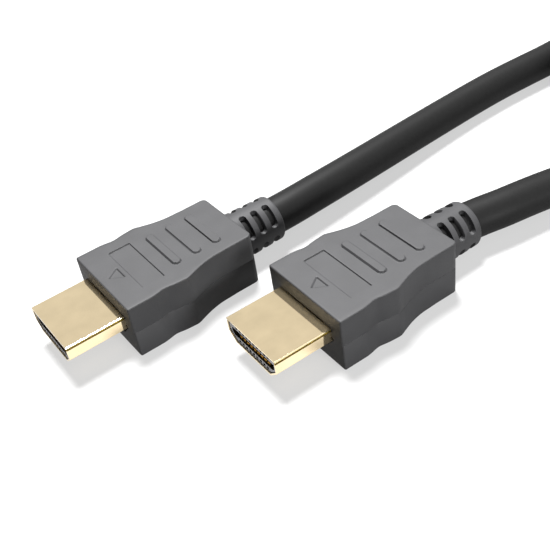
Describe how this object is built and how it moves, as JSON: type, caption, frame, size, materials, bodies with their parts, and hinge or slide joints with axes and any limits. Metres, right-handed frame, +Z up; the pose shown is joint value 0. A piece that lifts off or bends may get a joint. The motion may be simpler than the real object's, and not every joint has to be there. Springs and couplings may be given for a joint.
{
  "type": "hdmi cable",
  "caption": "Black screen lead with a flat gold-plated plug, grey ribbed hood and slotted strain relief on each end, and its spare length folded in a tied hank.",
  "frame": {"origin": "on the surface the plugs lie on, under the middle of the box round the two plugs", "axes": "+X from the plugs' mouths towards the cord, +Z up from the surface, +Y to the left seen from the plugs' mouths looking along the cord"},
  "size_m": [0.2675, 0.0661, 0.0174],
  "materials": {
    "gold_plated_shell": "polished gold plating on folded brass",
    "contact_gold": "gold plating",
    "grey_plastic": "moulded, matt",
    "grey_pvc": "moulded, fine matt texture",
    "black_pvc": "extruded flexible PVC, satin",
    "black_strap": "woven hook and loop"
  },
  "bodies": {
    "root": {"plug_a_shell": "gold_plated_shell", "plug_a_insulator": "grey_plastic", "plug_a_hood": "grey_pvc", "plug_a_top_contact_01": "contact_gold", "plug_a_top_contact_02": "contact_gold", "plug_a_top_contact_03": "contact_gold", "plug_a_top_contact_04": "contact_gold", "plug_a_top_contact_05": "contact_gold", "plug_a_top_contact_06": "contact_gold", "plug_a_top_contact_07": "contact_gold", "plug_a_top_contact_08": "contact_gold", "plug_a_top_contact_09": "contact_gold", "plug_a_top_contact_10": "contact_gold", "plug_a_bottom_contact_01": "contact_gold", "plug_a_bottom_contact_02": "contact_gold", "plug_a_bottom_contact_03": "contact_gold", "plug_a_bottom_contact_04": "contact_gold", "plug_a_bottom_contact_05": "contact_gold", "plug_a_bottom_contact_06": "contact_gold", "plug_a_bottom_contact_07": "contact_gold", "plug_a_bottom_contact_08": "contact_gold", "plug_a_bottom_contact_09": "contact_gold", "plug_b_shell": "gold_plated_shell", "plug_b_insulator": "grey_plastic", "plug_b_hood": "grey_pvc", "plug_b_top_contact_01": "contact_gold", "plug_b_top_contact_02": "contact_gold", "plug_b_top_contact_03": "contact_gold", "plug_b_top_contact_04": "contact_gold", "plug_b_top_contact_05": "contact_gold", "plug_b_top_contact_06": "contact_gold", "plug_b_top_contact_07": "contact_gold", "plug_b_top_contact_08": "contact_gold", "plug_b_top_contact_09": "contact_gold", "plug_b_top_contact_10": "contact_gold", "plug_b_bottom_contact_01": "contact_gold", "plug_b_bottom_contact_02": "contact_gold", "plug_b_bottom_contact_03": "contact_gold", "plug_b_bottom_contact_04": "contact_gold", "plug_b_bottom_contact_05": "contact_gold", "plug_b_bottom_contact_06": "contact_gold", "plug_b_bottom_contact_07": "contact_gold", "plug_b_bottom_contact_08": "contact_gold", "plug_b_bottom_contact_09": "contact_gold", "cord_from_plug_a": "black_pvc", "cord_from_plug_b": "black_pvc", "cord_hank": "black_pvc", "hank_tie": "black_strap"}
  },
  "joints": []
}
